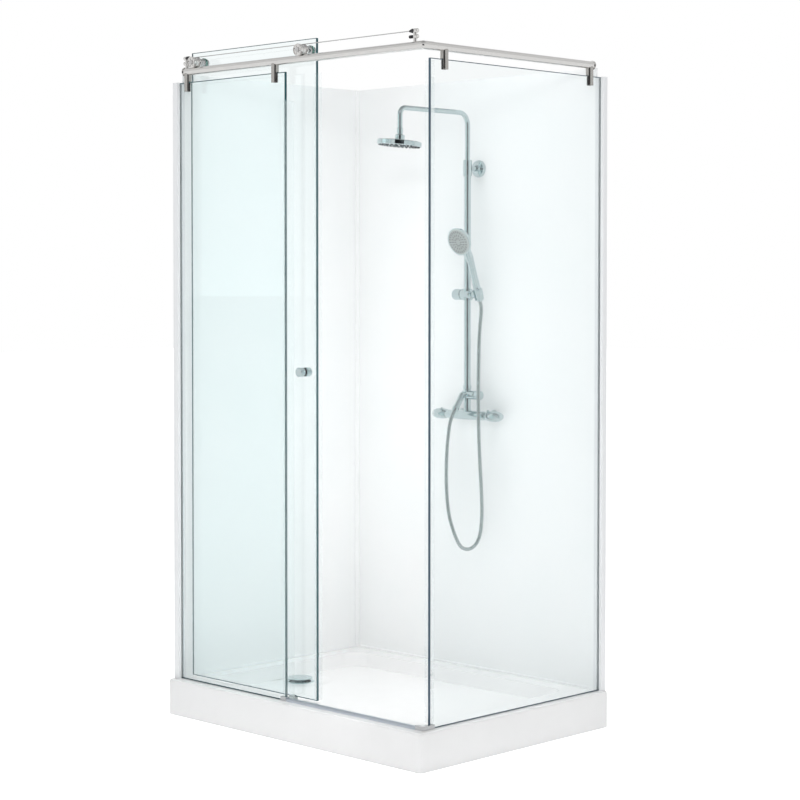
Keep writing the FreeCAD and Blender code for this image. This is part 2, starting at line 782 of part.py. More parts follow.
def hanger(x, y, along):
    """A round post saddled to the rail's underside, slotted below for the glass and its liner."""
    post = turned(Vector(x, y, hanger_bottom), Z_AXIS, [
        (0, 0), (0, hanger_radius - 1), (1, hanger_radius), (rail_z - 6 - hanger_bottom, hanger_radius),
        (rail_z - 6 - hanger_bottom, 0)])
    slot_half = half_glass + liner_thickness
    slot_top = glass_top + liner_thickness
    wide = hanger_radius + 1
    start = Vector(x, y, rail_z) - along * wide
    post = post.cut(rod(start, along, rail_radius + 0.05, 2 * wide))
    if along.x:
        slot = block(x - wide, x + wide, y - slot_half, y + slot_half, hanger_bottom - 1, slot_top)
        liner = block(x - 11, x + 11, y - slot_half, y + slot_half, hanger_bottom + 1, slot_top)
        glass = block(x - wide, x + wide, y - half_glass, y + half_glass, hanger_bottom - 1, glass_top)
    else:
        slot = block(x - slot_half, x + slot_half, y - wide, y + wide, hanger_bottom - 1, slot_top)
        liner = block(x - slot_half, x + slot_half, y - 11, y + 11, hanger_bottom + 1, slot_top)
        glass = block(x - half_glass, x + half_glass, y - wide, y + wide, hanger_bottom - 1, glass_top)
    return post.cut(slot), liner.cut(glass)


def make_hangers():
    posts_front = []
    posts_side = []
    liners = []
    screws = []
    screw_z = hanger_bottom + 14
    screw_depth = hanger_radius - half_glass - liner_thickness
    screw_reach = hanger_radius - fit_gap
    for x in front_hanger_places:
        post, liner = hanger(x, front_glass_y, X_AXIS)
        seat = rod(Vector(x, front_glass_y + half_glass + liner_thickness, screw_z), Y_AXIS,
                   set_screw_radius, screw_depth)
        posts_front.append(post.cut(seat))
        screws.append(seat.common(rod(Vector(x, front_glass_y, hanger_bottom), Z_AXIS, screw_reach, 40)))
        liners.append(liner)
    for y in side_hanger_places:
        post, liner = hanger(side_glass_x, y, Y_AXIS)
        seat = rod(Vector(side_glass_x - half_glass - liner_thickness, y, screw_z), X_AXIS * -1,
                   set_screw_radius, screw_depth)
        posts_side.append(post.cut(seat))
        screws.append(seat.common(rod(Vector(side_glass_x, y, hanger_bottom), Z_AXIS, screw_reach, 40)))
        liners.append(liner)
    save("front_hangers", *posts_front)
    save("side_hangers", *posts_side)
    save("hanger_liners", *liners)
    save("set_screws", *screws)


def make_stops():
    post_top = wire_z + post_above_wire
    posts = []
    bumpers = []
    cones = []
    nuts = []
    for x, inward in ((post_left_x, 1), (post_right_x, -1)):
        inner = Vector(inward, 0, 0)
        post = turned(Vector(x, front_glass_y, rail_z), Z_AXIS, [
            (0, 0), (0, post_radius), (post_top - rail_z - 1, post_radius),
            (post_top - rail_z, post_radius - 1), (post_top - rail_z, 0)])
        post = post.cut(rod(Vector(x - 10, front_glass_y, rail_z), X_AXIS, rail_radius + 0.05, 20))
        posts.append(post)
        around = rod(Vector(x, front_glass_y, rail_z), Z_AXIS, post_radius, 100)
        bumper = turned(Vector(x, front_glass_y, roller_z), inner, [
            (0, 0), (0, 3), (post_radius + 5, 3), (post_radius + 5, bumper_radius),
            (post_radius + bumper_length - 2, bumper_radius),
            (post_radius + bumper_length, bumper_radius - 2), (post_radius + bumper_length, 0)])
        bumpers.append(bumper.cut(around))
        cone = turned(Vector(x, front_glass_y, wire_z), inner, [
            (0, 0), (0, cone_radius), (post_radius + 5, cone_radius), (post_radius + cone_length, 3),
            (post_radius + cone_length, 0)])
        cone = cone.cut(around)
        cones.append(cone.cut(rod(Vector(x, front_glass_y, wire_z), inner, wire_radius, 2 * cone_length)))
        for z in (roller_z, wire_z):
            nut_end = post_radius + thumb_nut_length
            nut = turned(Vector(x, front_glass_y, z), inner * -1, [
                (0, 0), (0, thumb_nut_radius), (nut_end - 1, thumb_nut_radius),
                (nut_end, thumb_nut_radius - 1.5), (nut_end, 0)])
            nuts.append(nut.cut(around))
    save("stop_posts", *posts)
    save("stop_bumpers", *bumpers)
    save("wire_cones", *cones)
    save("thumb_nuts", *nuts)
    wire_start = post_left_x + post_radius
    wire_end = post_right_x - post_radius
    save("lift_guard_wire", rod(Vector(wire_start, front_glass_y, wire_z), X_AXIS, wire_radius,
                                wire_end - wire_start))


# ---------------------------------------------------------------- door
def make_door():
    pane = block(door_left, door_right, door_front_face, door_back_face, door_bottom, door_top)
    holes = [(roller_left_x, roller_z), (roller_right_x, roller_z)]
    for x, z in holes:
        pane = pane.cut(rod(Vector(x, door_front_face - 1, z), Y_AXIS, glass_hole_radius,
                            glass_thickness + 2))
    knob_x = door_right - knob_from_edge
    knob_z = tray_height + knob_above_tray
    pane = pane.cut(rod(Vector(knob_x, door_front_face - 1, knob_z), Y_AXIS, knob_bolt_radius + 2,
                        glass_thickness + 2))
    save("door_glass", pane)

    clip = seal_thickness
    nose = door_right + door_seal_width
    seal = section([
        (door_right - 10, door_front_face), (door_right - 10, door_front_face - clip),
        (door_right + 3, door_front_face - clip), (nose - 3, door_y - 4), (nose, door_y - 2),
        (nose, door_y + 2), (nose - 3, door_y + 4), (door_right + 3, door_back_face + clip),
        (door_right - 10, door_back_face + clip), (door_right - 10, door_back_face),
        (door_right, door_back_face), (door_right, door_front_face)],
        door_bottom + 6, glass_top - 8)
    save("door_edge_seal", seal)

    wheels = []
    studs = []
    gaskets = []
    nuts = []
    for x in (roller_left_x, roller_right_x):
        centre = Vector(x, front_glass_y, roller_z)
        half = wheel_groove_half_width
        rim = wheel_groove_radius + wheel_groove_curve - sqrt(wheel_groove_curve ** 2 - half ** 2)
        bore = axle_radius + axle_clearance
        flange = wheel_flange_radius
        recess = -wheel_front_reach + roller_face_recess
        rim_bore = flange - roller_face_rim
        wheel = turned(centre, Y_AXIS, [
            (recess, bore), (recess, rim_bore), (-wheel_front_reach, rim_bore),
            (-wheel_front_reach, flange - 0.8), (-wheel_front_reach + 0.8, flange), (-half - 1, flange),
            (-half, rim), ((0, wheel_groove_radius), (half, rim)), (half + 1, flange),
            (wheel_back_reach, flange), (wheel_back_reach, bore)])
        pin_circle = (rim_bore + axle_radius + 2) / 2
        pin_front = -wheel_front_reach + roller_pin_depth
        for number in range(roller_pin_count):
            angle = 2 * pi * number / roller_pin_count
            seat = Vector(pin_circle * cos(angle), pin_front, pin_circle * sin(angle))
            wheel = wheel.fuse(rod(centre + seat, Y_AXIS, roller_pin_radius, roller_face_recess))
        wheels.append(wheel)
        glass_side = door_plane_offset - half_glass - gasket_thickness
        far_side = glass_side + 2 * gasket_thickness + glass_thickness
        stud = turned(centre, Y_AXIS, [
            (-wheel_front_reach - 0.4, 0), (-wheel_front_reach - 0.4, axle_radius + 1.6),
            (recess - fit_gap, axle_radius + 2), (recess - fit_gap, axle_radius),
            (wheel_back_reach + fit_gap, axle_radius), (wheel_back_reach + fit_gap, hub_radius - 3),
            (wheel_back_reach + 4, hub_radius - 3), (wheel_back_reach + 6, hub_radius),
            (glass_side - 5, hub_radius), (glass_side - 3, hub_radius + 1), (glass_side, hub_radius + 1),
            (glass_side, axle_radius - 1), (far_side, axle_radius - 1), (far_side, 0)])
        studs.append(stud)
        gaskets.append(tube(Vector(x, door_front_face - gasket_thickness, roller_z), Y_AXIS,
                            gasket_radius, axle_radius - 1, gasket_thickness))
        gaskets.append(tube(Vector(x, door_back_face, roller_z), Y_AXIS,
                            gasket_radius, axle_radius - 1, gasket_thickness))
        nuts.append(turned(Vector(x, door_back_face + gasket_thickness, roller_z), Y_AXIS, [
            (0, 0), (0, cap_nut_radius), (cap_nut_length - 3, cap_nut_radius),
            ((cap_nut_length - 1, cap_nut_radius - 1), (cap_nut_length, cap_nut_radius - 3)),
            (cap_nut_length, 0)]))
    save("roller_wheel_left", wheels[0])
    save("roller_wheel_right", wheels[1])
    save("roller_studs", *studs)
    save("roller_gaskets", *gaskets)
    save("roller_cap_nuts", *nuts)

    knobs = []
    rings = []
    for face, axis in ((door_front_face, Y_AXIS * -1), (door_back_face, Y_AXIS)):
        seat = Vector(knob_x, face, knob_z)
        rings.append(tube(seat, axis, knob_radius - 1.5, knob_bolt_radius, knob_gasket))
        start = seat + axis * knob_gasket
        knob = turned(start, axis, [
            (0, 0), (0, knob_radius - knob_neck), (knob_neck_length, knob_radius - knob_neck),
            (knob_neck_length + 1, knob_radius), (knob_length - 1, knob_radius),
            (knob_length, knob_radius - 1), (knob_length, 0)])
        knobs.append(knob)
    bolt_length = glass_thickness + 2 * knob_gasket
    bolt = rod(Vector(knob_x, door_front_face - knob_gasket, knob_z), Y_AXIS, knob_bolt_radius,
               bolt_length)
    knobs[0] = knobs[0].fuse(bolt)
    save("door_knobs", *knobs)
    save("knob_gaskets", *rings)


# ---------------------------------------------------------------- shower column
diverter_left = column_x - 20
diverter_right = column_x + 40
riser_bottom = diverter_z + diverter_radius + 10
sleeve_bottom = bracket_z - bracket_sleeve_length / 2
sleeve_top = bracket_z + bracket_sleeve_length / 2
outlet_turn = Vector(column_x, column_y - outlet_forward, diverter_z)
outlet_direction = Vector(0, -sin(radians(outlet_slant)), -cos(radians(outlet_slant)))
outlet_end = outlet_turn + outlet_direction * outlet_length
hose_start = outlet_end + outlet_direction * hose_nut_length


def make_mixer():
    # the body is fullest in the middle and thins toward both handles: (along, depth, height)
    half = mixer_length / 2
    swell = [(half, 0.7, 0.9), (half - mixer_shoulder, 0.85, 0.96), (half * 0.5, 0.97, 1.0)]
    middle = [(0, 1.0, 1.03)]
    stations = [(-along, depth, height) for along, depth, height in swell] + middle + swell[::-1]
    body = oval_body([(column_x + along, mixer_half_depth * depth, mixer_radius * height)
                      for along, depth, height in stations], column_y, mixer_z)
    neck_top = diverter_above_mixer - diverter_radius
    neck = turned(Vector(column_x, column_y, mixer_z), Z_AXIS, [
        (10, 0), (10, mixer_neck_radius), (mixer_radius + 3, mixer_neck_radius),
        (mixer_radius + 5, diverter_neck_radius), (neck_top, diverter_neck_radius), (neck_top, 0)])
    reach = half + spindle_length
    spindles = rod(Vector(column_x - reach, column_y, mixer_z), X_AXIS, spindle_radius, 2 * reach)
    body = body.fuse(neck).fuse(spindles)
    save("mixer_body", body)

    solid_body = body.copy()
    unions = []
    for side in (-1, 1):
        x = column_x + side * inlet_spacing / 2
        wall = column_from_wall
        behind_panel = wall + wall_panel_thickness + 0.5
        thread_end = wall + back_wall_setback - 2
        union = turned(Vector(x, column_y, mixer_z), Y_AXIS, [
            (0, 0), (0, union_radius), (wall - 10, union_radius), (wall - 8, union_rosette_radius - 1),
            (wall - 7, union_rosette_radius), (wall, union_rosette_radius), (wall, inlet_collar_radius),
            (behind_panel, inlet_collar_radius), (behind_panel, inlet_thread_radius),
            (thread_end, inlet_thread_radius), (thread_end, inlet_bore), (wall - 6, inlet_bore),
            (wall - 6, 0)])
        unions.append(union.cut(solid_body))
    save("wall_unions", *unions)

    def handle(side):
        start = column_x + side * (half + handle_gap)
        grip = oval_body([
            (start, 17, 15), (start + side * 8, 20, 17), (start + side * 26, 23, 18.5),
            (start + side * 44, 22, 17.5), (start + side * (handle_length - 8), 17, 13),
            (start + side * (handle_length - 2), 10, 8)], column_y, mixer_z)
        tip = start + side * (handle_length - 2)
        end = turned(Vector(tip, column_y, mixer_z), Vector(side, 0, 0), [
            (-1, 0), (-1, 7), (1.4, 5), (2, 0)])
        lever = block(-3, 3, -4, 4, 0, 12)
        lever = lever.makeFillet(1.5, [edge for edge in lever.Edges if edge.BoundBox.ZMin > 11.9])
        lever.rotate(Vector(0, 0, 0), X_AXIS, 40)
        lever.translate(Vector(start + side * 14, column_y - 9, mixer_z + 11))
        seat = rod(Vector(start - side, column_y, mixer_z), Vector(side, 0, 0), spindle_radius + fit_gap,
                   spindle_length + 2)
        return grip.fuse(end).fuse(lever).cut(seat)

    save("flow_handle", handle(-1))
    save("temperature_handle", handle(1))


def make_diverter():
    length = diverter_right - diverter_left
    barrel = turned(Vector(diverter_left, column_y, diverter_z), X_AXIS, [
        (0, 0), (0, diverter_radius - 3), (3, diverter_radius), (length - 2, diverter_radius),
        (length, diverter_radius - 2), (length, 0)])
    bottom = diverter_z - diverter_radius
    lower = rod(Vector(column_x, column_y, bottom), Z_AXIS, diverter_socket_radius, diverter_radius)
    riser_seat = riser_bottom - diverter_z
    nut_top = riser_seat + 8
    upper = turned(Vector(column_x, column_y, diverter_z), Z_AXIS, [
        (0, 0), (0, diverter_socket_radius), (diverter_radius + 4, diverter_socket_radius),
        (diverter_radius + 6, diverter_nut_radius), (nut_top, diverter_nut_radius),
        (nut_top, lower_riser_radius), (riser_seat, lower_riser_radius), (riser_seat, 0)])
    branch = rod_between(Vector(column_x, column_y, diverter_z), outlet_turn, outlet_branch_radius)
    branch = branch.fuse(Part.makeSphere(outlet_branch_radius, outlet_turn))
    branch = branch.fuse(rod_between(outlet_turn, outlet_end, outlet_branch_radius))
    body = barrel.fuse(lower).fuse(upper).fuse(branch)
    save("diverter_body", body)

    knob_start = diverter_right + handle_gap
    knob_end = diverter_knob_length
    knob = turned(Vector(knob_start, column_y, diverter_z), X_AXIS, [
        (0, 0), (0, diverter_knob_radius - 3), (3, diverter_knob_radius),
        (knob_end - 4, diverter_knob_radius),
        ((knob_end - 1, diverter_knob_radius - 1.5), (knob_end, diverter_knob_radius - 5)), (knob_end, 0)])
    lug_top = diverter_z + diverter_knob_radius + 6
    lug = block(knob_start + 6, knob_start + 18, column_y - 3, column_y + 3, diverter_z + 10, lug_top)
    lug = lug.makeFillet(2, [edge for edge in lug.Edges if edge.BoundBox.ZMin > lug_top - 0.1])
    save("diverter_knob", knob.fuse(lug))

    nut = turned(outlet_end, outlet_direction, [
        (0, 0), (0, hose_nut_radius), (hose_nut_length * 0.55, hose_nut_radius - 0.4),
        (hose_nut_length, hose_radius + 2), (hose_nut_length, 0)])
    save("hose_nut", nut)


def make_riser():
    riser = tube(Vector(column_x, column_y, riser_bottom), Z_AXIS, lower_riser_radius, upper_arm_radius,
                 sleeve_top - 6 - riser_bottom)
    save("lower_riser", riser)

    arm_bottom = sleeve_bottom - 40
    bend_top = Vector(column_x, column_y, arm_z)
    elbow_y = column_y - arm_reach
    drop_end = arm_z - rain_drop + ball_above_head + ball_neck
    points = [Vector(column_x, column_y, arm_bottom), bend_top, Vector(column_x, elbow_y, arm_z),
              Vector(column_x, elbow_y, drop_end)]
    save("upper_arm", bent_tube(points, [arm_bend_radius, 24.0], upper_arm_radius, "upper arm"))

    length = bracket_sleeve_length
    sleeve = turned(Vector(column_x, column_y, sleeve_bottom), Z_AXIS, [
        (0, lower_riser_radius), (0, bracket_sleeve_radius - 1), (1, bracket_sleeve_radius),
        (length - 1, bracket_sleeve_radius), (length, bracket_sleeve_radius - 1),
        (length, upper_arm_radius), (length - 6, upper_arm_radius), (length - 6, lower_riser_radius)])
    post = turned(Vector(column_x, column_y, bracket_z), Y_AXIS, [
        (lower_riser_radius + 1, 0), (lower_riser_radius + 1, 10), (column_from_wall - 14, 10),
        (column_from_wall - 12, 14), (column_from_wall - 10, bracket_rosette_radius - 3),
        (column_from_wall - 3, bracket_rosette_radius), (column_from_wall, bracket_rosette_radius),
        (column_from_wall, 0)])
    save("riser_bracket", sleeve.fuse(post))


def make_rain_head():
    centre_y = column_y - arm_reach
    ball_z = arm_z - rain_drop + ball_above_head
    head_top = arm_z - rain_drop
    ball = turned(Vector(column_x, centre_y, ball_z), Z_AXIS, [
        (-rain_ball_radius, 0), ((-8.5, 8.5), (0, rain_ball_radius)), ((5, 11), (8, 9)), (9.5, 9),
        (9.5, ball_nut_radius), (ball_neck - 2, ball_nut_radius), (ball_neck, 9), (ball_neck, 0)])
    save("rain_head_ball", ball)

    disc = head_top - rain_head_thickness
    edge = rain_head_radius
    head = turned(Vector(column_x, centre_y, 0), Z_AXIS, [
        (disc, 0), (disc, edge - 3), (disc + 2, edge), (head_top - 2, edge), (head_top, edge - 3),
        (head_top + 1.5, 22), (head_top + 3, 17), (ball_z - 4, 16.2), (ball_z + 4, 15.8), (ball_z + 5, 15),
        (ball_z + 5, 13.6), ((ball_z - 3, 12.3), (ball_z - 10.5, 6.6)), (ball_z - 13, 0)])
    nozzles = []
    for radius, count in zip(rain_ring_radii, rain_ring_count):
        for number in range(count):
            angle = 2 * pi * number / count
            base = Vector(column_x, centre_y, disc - nozzle_length)
            base += Vector(radius * cos(angle), radius * sin(angle), 0)
            nozzles.append(Part.makeCone(nozzle_tip_radius, nozzle_root_radius, nozzle_length + 0.5, base))
    head = head.multiFuse(nozzles)
    head.rotate(Vector(column_x, centre_y, ball_z), Vector(-1, 1, 0), rain_head_hang)
    save("rain_head", head)


# ---------------------------------------------------------------- handset and its slider
cradle_centre = Vector(column_x + cradle_offset, column_y, slider_z)
lean = radians(handset_lean)
handset_axis = Vector(0, -sin(lean), cos(lean))
face_normal = Vector(0, -cos(lean), -sin(lean))
slider_left = column_x - 22
slider_right = column_x + 20


def make_slider():
    length = slider_right - slider_left
    neck_end = length + slider_neck_length
    body = turned(Vector(slider_left, column_y, slider_z), X_AXIS, [
        (0, 0), (0, slider_radius - 1), (1, slider_radius), (length - 2, slider_radius),
        (length, slider_radius - 2), (length + 4, slider_neck_radius), (neck_end, slider_neck_radius),
        (neck_end, 0)])
    collar = rod(Vector(column_x, column_y, slider_z - slider_collar_half), Z_AXIS,
                 lower_riser_radius + 5, 2 * slider_collar_half)
    bore = rod(Vector(column_x, column_y, slider_z - 2 * slider_collar_half), Z_AXIS,
               lower_riser_radius + fit_gap, 4 * slider_collar_half)
    save("slider_body", body.fuse(collar).cut(bore))

    knob_start = slider_left - handle_gap
    knob_end = slider_knob_length
    save("slider_knob", turned(Vector(knob_start, column_y, slider_z), X_AXIS * -1, [
        (0, 0), (0, slider_radius - 1), (2, slider_radius + 1), (knob_end - 12, slider_radius + 1.5),
        ((knob_end - 4, slider_radius - 2), (knob_end, 5)), (knob_end, 0)]))

    start = slider_right + slider_neck_length + handle_gap
    ear = rod(Vector(start, column_y, slider_z), X_AXIS, cradle_ear_radius, cradle_centre.x - start)
    half = cradle_half
    cone = turned(cradle_centre, handset_axis, [
        (-half, 0), (-half, cradle_lower_radius), (half, cradle_upper_radius), (half, 0)])
    past = 11
    hole = turned(cradle_centre, handset_axis, [
        (-half - past, 0), (-half - past, socket_lower_radius - socket_slope * past),
        (-half, socket_lower_radius), (half, socket_upper_radius),
        (half + past, socket_upper_radius + socket_slope * past), (half + past, 0)])
    mouth = block(-hose_radius - 1.5, hose_radius + 1.5, -40, 0, -40, 40)
    mouth.rotate(Vector(0, 0, 0), X_AXIS, handset_lean)
    mouth.translate(cradle_centre)
    cradle = ear.fuse(cone).cut(hole).cut(mouth)
    save("handset_cradle", cradle)


def make_handset():
    lower = socket_lower_radius - fit_gap
    upper = socket_upper_radius - fit_gap
    below = -handset_below_cradle
    handle = turned(cradle_centre, handset_axis, [
        (below, 0), (below, lower - 1), (-cradle_half, lower), (cradle_half, upper),
        (cradle_half + 5, upper + 0.7), (cradle_half + 8, upper - 0.2),
        ((90, 11.6), (140, 12.6)), (150, 11), (150, 0)])
    head_centre = cradle_centre + handset_axis * handset_head_along + face_normal * handset_head_out
    back_edge = -handset_head_depth
    edge = handset_head_radius
    head = turned(head_centre, face_normal, [
        (back_edge - 9, 0), ((back_edge - 6, edge * 0.62), (back_edge + 2, edge - 3)), (-3, edge),
        (0, edge), (0, 0)])
    neck_loops = []
    for along, out, depth, width in handset_neck_loops:
        middle = cradle_centre + handset_axis * along + face_normal * out
        across = X_AXIS * max(width, depth + 0.01)
        curve = Part.Ellipse(middle + across, middle + face_normal * depth, middle)
        neck_loops.append(Part.Wire([curve.toShape()]))
    neck = Part.makeLoft(neck_loops, True, False)
    body = handle.fuse(head).fuse(neck)
    save("handset_body", body)

    face = turned(head_centre, face_normal, [
        (0, 0), (0, edge - 4), (2, edge - 5), (3, edge - 9), (3, 0)])
    facing = FreeCAD.Placement(head_centre, FreeCAD.Rotation(
        X_AXIS, face_normal.cross(X_AXIS), face_normal, "ZXY"))
    bars = []
    for radius, count, length in zip(spray_ring_radii, spray_ring_count, spray_bar_lengths):
        for number in range(count):
            angle = 360 * number / count
            bar = block(radius - length / 2, radius + length / 2, -spray_bar_width / 2, spray_bar_width / 2,
                        2.5, 3 + spray_bar_height)
            bar.rotate(Vector(0, 0, 0), Z_AXIS, angle)
            bar.Placement = facing.multiply(bar.Placement)
            bars.append(bar)
    save("handset_face", face.multiFuse(bars))


hose_points = [
    (31, 274, 962), (32, 264, 895), (34, 259, 815), (38, 258, 738), (47, 259, 676),
    (62, 261, 632), (74, 269, 593), (76, 290, 564), (78, 323, 553), (81, 356, 564), (83, 377, 593),
    (87, 382, 635), (94, 377, 692), (102, 364, 762), (109, 350, 840), (113, 340, 921), (114, 336, 1003),
    (110, 339, 1078), (104, 346, 1148), (98, 354, 1209), (91, 363, 1258), (84, 373, 1298), (80, 381, 1331),
    (79, 386, 1361),
]


def make_hose():
    hose_end = cradle_centre - handset_axis * handset_below_cradle
    points = [hose_start, hose_start + outlet_direction * 30]
    points += [Vector(*point) for point in hose_points]
    points += [hose_end - handset_axis * 24, hose_end]
    radii = []
    for number in range(1, len(points) - 1):
        inward = points[number] - points[number - 1]
        outward = points[number + 1] - points[number]
        turn = inward.getAngle(outward)
        radii.append(0.45 * min(inward.Length, outward.Length) / tan(turn / 2))
    print("hose bends, tightest", round(min(radii), 1))
    save("shower_hose", bent_tube(points, radii, hose_radius, "shower hose"))


make_tray()
make_tray_support()
make_waste()
make_walls()
make_fixed_glass()
make_floor_fittings()
make_rails()
make_hangers()
make_stops()
make_door()
make_mixer()
make_diverter()
make_riser()
make_rain_head()
make_slider()
make_handset()
make_hose()
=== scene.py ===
import math

import bmesh
import bpy
from mathutils import Matrix, Vector


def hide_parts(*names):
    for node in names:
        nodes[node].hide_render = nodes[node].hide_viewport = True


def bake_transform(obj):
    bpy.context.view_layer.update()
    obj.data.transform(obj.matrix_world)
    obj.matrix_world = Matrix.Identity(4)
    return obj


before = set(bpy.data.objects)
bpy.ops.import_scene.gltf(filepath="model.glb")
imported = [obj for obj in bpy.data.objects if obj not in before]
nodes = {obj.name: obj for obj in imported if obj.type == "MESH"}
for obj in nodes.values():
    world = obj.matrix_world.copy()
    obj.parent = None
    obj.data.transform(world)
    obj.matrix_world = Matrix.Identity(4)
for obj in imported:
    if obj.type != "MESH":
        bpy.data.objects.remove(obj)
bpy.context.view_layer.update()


def makeMaterial(name, colour, roughness, metallic=0.0):
    material = bpy.data.materials.new(name)
    material.use_nodes = True
    shader = shaderOf(material)
    shader.inputs["Base Color"].default_value = (*colour, 1.0)
    shader.inputs["Roughness"].default_value = roughness
    shader.inputs["Metallic"].default_value = metallic
    return material


def shaderOf(material):
    return material.node_tree.nodes["Principled BSDF"]


def addNode(material, kind, place):
    node = material.node_tree.nodes.new(kind)
    node.location = place
    return node


def addMath(material, operation, place, second=None):
    node = addNode(material, "ShaderNodeMath", place)
    node.operation = operation
    if second is not None:
        node.inputs[1].default_value = second
    return node


def link(material, source, target):
    material.node_tree.links.new(source, target)


def changeInShine(material, usual, mirrored):
    # what metal and glass mirror of the material differs from what is seen of it
    path = addNode(material, "ShaderNodeLightPath", (0, 300))
    shine = addMath(material, "GREATER_THAN", (150, 300), 0.5)
    mix = addNode(material, "ShaderNodeMixShader", (300, 0))
    link(material, path.outputs["Glossy Depth"], shine.inputs[0])
    link(material, shine.outputs["Value"], mix.inputs["Fac"])
    link(material, usual, mix.inputs[1])
    link(material, mirrored, mix.inputs[2])
    link(material, mix.outputs["Shader"], material.node_tree.nodes["Material Output"].inputs["Surface"])


def addGrain(material, scale, distance, strength, stretch=(1.0, 1.0, 1.0)):
    # a fine unevenness of the surface, in the object's own place
    where = addNode(material, "ShaderNodeTexCoord", (-1000, -300))
    mapping = addNode(material, "ShaderNodeMapping", (-800, -300))
    mapping.inputs["Scale"].default_value = stretch
    noise = addNode(material, "ShaderNodeTexNoise", (-600, -300))
    noise.inputs["Scale"].default_value = scale
    noise.inputs["Detail"].default_value = 3.0
    bump = addNode(material, "ShaderNodeBump", (-300, -300))
    bump.inputs["Strength"].default_value = strength
    bump.inputs["Distance"].default_value = distance
    link(material, where.outputs["Object"], mapping.inputs["Vector"])
    link(material, mapping.outputs["Vector"], noise.inputs["Vector"])
    link(material, noise.outputs["Fac"], bump.inputs["Height"])
    link(material, bump.outputs["Normal"], shaderOf(material).inputs["Normal"])
    return noise


def addTint(material, noise, low, high):
    # the colour drifts a little between two close tones
    ramp = addNode(material, "ShaderNodeValToRGB", (-350, 150))
    ramp.color_ramp.elements[0].color = (*low, 1.0)
    ramp.color_ramp.elements[1].color = (*high, 1.0)
    ramp.color_ramp.elements[0].position = 0.3
    ramp.color_ramp.elements[1].position = 0.7
    link(material, noise.outputs["Fac"], ramp.inputs["Fac"])
    link(material, ramp.outputs["Color"], shaderOf(material).inputs["Base Color"])


def dress(piece, material):
    nodes[piece].data.materials.clear()
    nodes[piece].data.materials.append(material)


def addArrisShadeBand(material, piece, across, wide):
    # 1 within the given width of the pane's outline, else 0
    where = addNode(material, "ShaderNodeTexCoord", (-900, 500))
    split = addNode(material, "ShaderNodeSeparateXYZ", (-700, 500))
    link(material, where.outputs["Object"], split.inputs["Vector"])
    band = addMath(material, "MAXIMUM", (100, 700))
    for number, axis in enumerate((1 - across, 2)):
        values = [corner[axis] for corner in nodes[piece].bound_box]
        low, high = min(values), max(values)
        row = 500 - 200 * axis
        shift = addMath(material, "SUBTRACT", (-500, row), (low + high) / 2)
        size = addMath(material, "ABSOLUTE", (-300, row))
        beyond = addMath(material, "GREATER_THAN", (-100, row), (high - low) / 2 - wide)
        link(material, split.outputs["XYZ"[axis]], shift.inputs[0])
        link(material, shift.outputs["Value"], size.inputs[0])
        link(material, size.outputs["Value"], beyond.inputs[0])
        link(material, beyond.outputs["Value"], band.inputs[number])
    return band


def makeGlass(piece, pane):
    # the pane is clear, and a narrow band along its outline, where its ground arris is, is dark teal: painted
    # shade that stands in for the dark glass edge seen through the pane
    material = makeMaterial(pane["name"], pane["tint"], 0.0)
    shader = shaderOf(material)
    shader.inputs["Transmission Weight"].default_value = 1.0
    shader.inputs["IOR"].default_value = 1.5
    # soft light goes straight through, so that the room behind the pane is lit
    path = addNode(material, "ShaderNodeLightPath", (100, 400))
    through = addNode(material, "ShaderNodeBsdfTransparent", (100, -200))
    through.inputs["Color"].default_value = (0.985, 0.992, 0.992, 1.0)
    soft = addMath(material, "MAXIMUM", (200, 400))
    soft.use_clamp = True
    mix = addNode(material, "ShaderNodeMixShader", (300, 100))
    link(material, path.outputs["Is Shadow Ray"], soft.inputs[0])
    link(material, path.outputs["Diffuse Depth"], soft.inputs[1])
    link(material, soft.outputs["Value"], mix.inputs["Fac"])
    link(material, shader.outputs["BSDF"], mix.inputs[1])
    link(material, through.outputs["BSDF"], mix.inputs[2])
    # the band along the outline gets the dark rim colour, painted shade of the glass edge
    band = addArrisShadeBand(material, piece, pane["across"], pane["arrisShadeWide"])
    rim = addNode(material, "ShaderNodeBsdfPrincipled", (100, -400))
    rim.inputs["Base Color"].default_value = (*pane["rim"], 1.0)
    rim.inputs["Roughness"].default_value = 0.3
    whole = addNode(material, "ShaderNodeMixShader", (500, 100))
    link(material, band.outputs["Value"], whole.inputs["Fac"])
    link(material, mix.outputs["Shader"], whole.inputs[1])
    link(material, rim.outputs["BSDF"], whole.inputs[2])
    link(material, whole.outputs["Shader"], material.node_tree.nodes["Material Output"].inputs["Surface"])
    return material


tealTone = (0.018, 0.075, 0.085)

